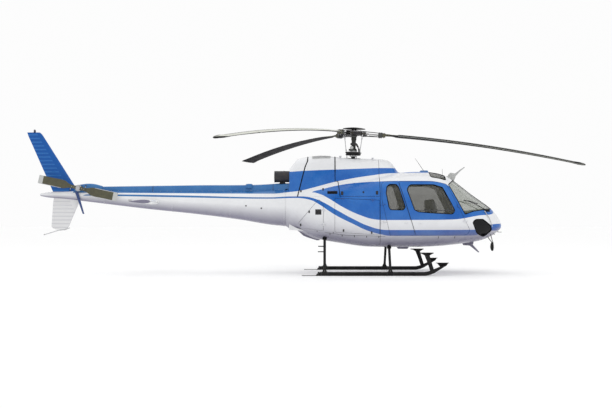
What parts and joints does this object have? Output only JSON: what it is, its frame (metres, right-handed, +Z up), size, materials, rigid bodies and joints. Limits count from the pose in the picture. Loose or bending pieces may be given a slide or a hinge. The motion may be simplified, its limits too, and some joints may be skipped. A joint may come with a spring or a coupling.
{
  "type": "light helicopter on skids",
  "caption": "Light single-turbine helicopter on high skids with a turning main rotor and tail rotor, opening cabin doors, hold doors and gearbox cowls.",
  "frame": {"origin": "on the ground under the centre of the overall length, on the centreline", "axes": "+X towards the nose, +Y to port, +Z up"},
  "size_m": [12.8386, 9.4296, 3.3367],
  "materials": {
    "cabin_paint": "gloss",
    "blue_paint": "gloss",
    "metal_paint": "gloss",
    "clear_pane": "gloss",
    "gear_paint": "satin",
    "bare_metal": "satin",
    "heavy_metal": "satin",
    "rotor_composite": "satin",
    "seat_cloth": "matte",
    "dark_trim": "matte"
  },
  "bodies": {
    "airframe": {"cabin_tub": "metal_paint", "canopy_frame": "cabin_paint", "rear_wall": "dark_trim", "right_windshield": "clear_pane", "left_windshield": "clear_pane", "right_chin_window": "clear_pane", "left_chin_window": "clear_pane", "right_roof_window": "clear_pane", "left_roof_window": "clear_pane", "mid_body": "metal_paint", "engine_cowl": "cabin_paint", "exhaust_fairing": "cabin_paint", "cowl_spine": "cabin_paint", "front_fairing": "cabin_paint", "engine": "heavy_metal", "main_gearbox": "heavy_metal", "exhaust_pipe": "bare_metal", "tail_boom": "metal_paint", "stabilizer": "metal_paint", "shaft_cover": "blue_paint", "tail_gearbox": "blue_paint", "upper_fin": "metal_paint", "lower_fin": "metal_paint", "tail_guard": "metal_paint", "swashplate_lower": "dark_trim", "front_cross_tube": "gear_paint", "rear_cross_tube": "gear_paint", "right_skid": "gear_paint", "left_skid": "gear_paint", "right_front_seat": "seat_cloth", "left_front_seat": "seat_cloth", "rear_bench": "seat_cloth", "instrument_panel": "dark_trim", "roof_aerial": "blue_paint", "upper_wire_cutter": "metal_paint", "lower_wire_cutter": "gear_paint", "belly_hard_point": "gear_paint", "nose_mirror": "gear_paint"},
    "main_rotor": {"mast": "bare_metal", "rotor_hub": "bare_metal", "hub_cap": "bare_metal", "swashplate_upper": "dark_trim", "rotor_blade_1": "rotor_composite", "rotor_blade_2": "rotor_composite", "rotor_blade_3": "rotor_composite"},
    "tail_rotor": {"tail_rotor_hub": "bare_metal", "tail_rotor_blades": "rotor_composite"},
    "rear_hold_door": {"rear_hold_door": "cabin_paint"},
    "right_front_door": {"right_front_door": "cabin_paint", "right_front_door_window": "clear_pane"},
    "right_rear_door": {"right_rear_door": "cabin_paint", "right_rear_door_window": "clear_pane"},
    "right_hold_door": {"right_hold_door": "cabin_paint"},
    "right_gearbox_cowl": {"right_gearbox_cowl": "cabin_paint"},
    "left_front_door": {"left_front_door": "cabin_paint", "left_front_door_window": "clear_pane"},
    "left_rear_door": {"left_rear_door": "cabin_paint", "left_rear_door_window": "clear_pane"},
    "left_hold_door": {"left_hold_door": "cabin_paint"},
    "left_gearbox_cowl": {"left_gearbox_cowl": "cabin_paint"}
  },
  "joints": [
    {"name": "main_rotor_spin", "type": "hinge", "parent": "airframe", "child": "main_rotor", "pos_m": [1.105, 0, 3.21], "axis": [0.0349, 0, 0.9994], "continuous": true},
    {"name": "tail_rotor_spin", "type": "hinge", "parent": "airframe", "child": "tail_rotor", "pos_m": [-5.167, -0.29, 1.94], "axis": [0, -1, 0], "continuous": true},
    {"name": "right_front_door_hinge", "type": "hinge", "parent": "airframe", "child": "right_front_door", "pos_m": [3.574, -0.835, 1.15], "axis": [-0.447, 0.0298, 0.894], "range_deg": [0, 75]},
    {"name": "left_front_door_hinge", "type": "hinge", "parent": "airframe", "child": "left_front_door", "pos_m": [3.574, 0.835, 1.15], "axis": [0.447, 0.0298, -0.894], "range_deg": [0, 75]},
    {"name": "right_rear_door_hinge", "type": "hinge", "parent": "airframe", "child": "right_rear_door", "pos_m": [1.69, -0.952, 1.1], "axis": [0, -0.04, -0.9992], "range_deg": [0, 80]},
    {"name": "left_rear_door_hinge", "type": "hinge", "parent": "airframe", "child": "left_rear_door", "pos_m": [1.69, 0.952, 1.1], "axis": [0, -0.04, 0.9992], "range_deg": [0, 80]},
    {"name": "right_hold_door_hinge", "type": "hinge", "parent": "airframe", "child": "right_hold_door", "pos_m": [0.66, -0.775, 1.712], "axis": [-0.989, 0.1406, 0.0452], "range_deg": [0, 85]},
    {"name": "left_hold_door_hinge", "type": "hinge", "parent": "airframe", "child": "left_hold_door", "pos_m": [0.66, 0.775, 1.712], "axis": [0.989, 0.1406, -0.0452], "range_deg": [0, 85]},
    {"name": "right_gearbox_cowl_hinge", "type": "hinge", "parent": "airframe", "child": "right_gearbox_cowl", "pos_m": [0.7, -0.203, 2.672], "axis": [-0.9983, 0, 0.0577], "range_deg": [0, 60]},
    {"name": "left_gearbox_cowl_hinge", "type": "hinge", "parent": "airframe", "child": "left_gearbox_cowl", "pos_m": [0.7, 0.203, 2.672], "axis": [0.9983, 0, -0.0577], "range_deg": [0, 60]},
    {"name": "rear_hold_door_hinge", "type": "hinge", "parent": "airframe", "child": "rear_hold_door", "pos_m": [0.412, -0.772, 1.08], "axis": [0, 0.0125, 0.9999], "range_deg": [0, 90]}
  ]
}
